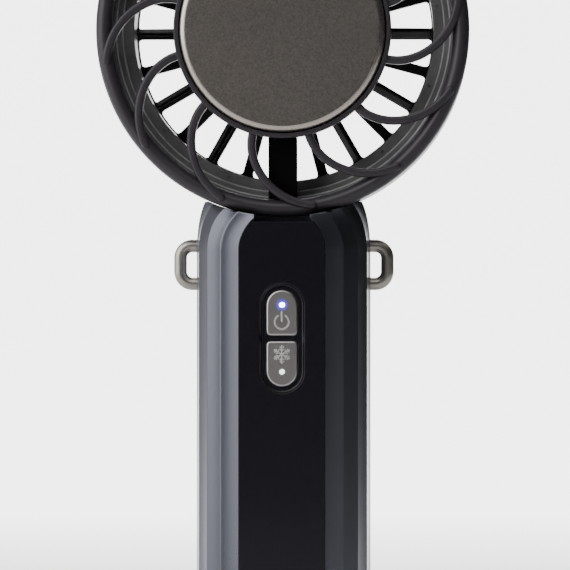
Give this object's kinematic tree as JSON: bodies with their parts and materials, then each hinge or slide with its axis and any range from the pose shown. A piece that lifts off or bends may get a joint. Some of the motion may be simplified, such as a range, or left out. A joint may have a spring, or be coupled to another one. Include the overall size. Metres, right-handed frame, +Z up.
{
  "type": "handheld electric fan",
  "caption": "Handheld fan: fluted handle with a face panel and push buttons, tilting round head, swirl guard, metal cooling plate.",
  "frame": {"origin": "centre of the base underside, on the surface that the fan stands on", "axes": "+Z up along the handle to the head, -Y out of the front face, +X to the right seen from the front"},
  "size_m": [0.09, 0.036, 0.205],
  "materials": {
    "anodised_body": "dark blue-grey anodised, satin to gloss",
    "face_panel": "near-black smooth gloss",
    "guard_plastic": "dark grey semi-gloss moulding",
    "duct_plastic": "mid-grey satin moulding",
    "black_plastic": "black matte moulding",
    "blasted_plate": "bead-blasted warm grey metal",
    "button_metal": "satin warm grey metal with bright bevels",
    "nickel": "satin nickel plate",
    "steel": "plain steel",
    "aluminium": "milled aluminium",
    "ceramic": "white ceramic plates",
    "soft_pad": "soft grey gap pad",
    "magnet": "dark coated magnet ring",
    "copper": "copper windings on a laminated core",
    "circuit": "green circuit board",
    "cell_wrap": "heat-shrunk cell sleeve",
    "clear_pipe": "clear light guide"
  },
  "bodies": {
    "handle": {"handle_front_shell": "anodised_body", "handle_rear_shell": "anodised_body", "face_panel": "face_panel", "button_frame": "face_panel", "base_cap": "black_plastic", "battery_cradle": "black_plastic", "power_switch": "black_plastic", "cooling_switch": "black_plastic", "strap_loop_left": "nickel", "strap_loop_right": "nickel", "usb_c_socket": "nickel", "base_screw_left": "steel", "base_screw_right": "steel", "friction_washer_left": "steel", "friction_washer_right": "steel", "hinge_pin": "steel", "board_screw_1": "steel", "board_screw_2": "steel", "control_board": "circuit", "charge_board": "circuit", "battery_cell": "cell_wrap", "power_light": "clear_pipe", "cooling_light": "clear_pipe"},
    "head": {"front_grille": "guard_plastic", "cooling_plate": "blasted_plate", "thermal_pad": "soft_pad", "peltier_module": "ceramic", "heat_sink": "aluminium", "plate_carrier": "black_plastic", "wire_strut": "black_plastic", "head_shell": "duct_plastic", "rear_guard": "guard_plastic", "motor_board": "circuit", "motor_stator": "copper", "front_bearing": "steel", "rear_bearing": "steel", "guard_screw_1": "steel", "guard_screw_2": "steel", "guard_screw_3": "steel", "guard_screw_4": "steel", "motor_screw_1": "steel", "motor_screw_2": "steel"},
    "rotor": {"impeller": "black_plastic", "magnet_ring": "magnet", "motor_shaft": "steel"},
    "power_key": {"power_button": "button_metal", "power_light_pipe": "clear_pipe"},
    "cooling_key": {"cooling_button": "button_metal", "cooling_light_pipe": "clear_pipe"}
  },
  "joints": [
    {"name": "head_tilt", "type": "hinge", "parent": "handle", "child": "head", "pos_m": [0, 0.0154, 0.1122], "axis": [-1, 0, 0], "range_deg": [0, 90]},
    {"name": "impeller_spin", "type": "hinge", "parent": "head", "child": "rotor", "pos_m": [0, 0, 0.16], "axis": [0, 1, 0], "continuous": true},
    {"name": "power_press", "type": "slide", "parent": "handle", "child": "power_key", "axis": [0, 1, 0], "range_m": [0, 0.0004], "stiffness_N_per_m": 2500, "springref_m": -0.0003},
    {"name": "cooling_press", "type": "slide", "parent": "handle", "child": "cooling_key", "axis": [0, 1, 0], "range_m": [0, 0.0004], "stiffness_N_per_m": 2500, "springref_m": -0.0003}
  ]
}
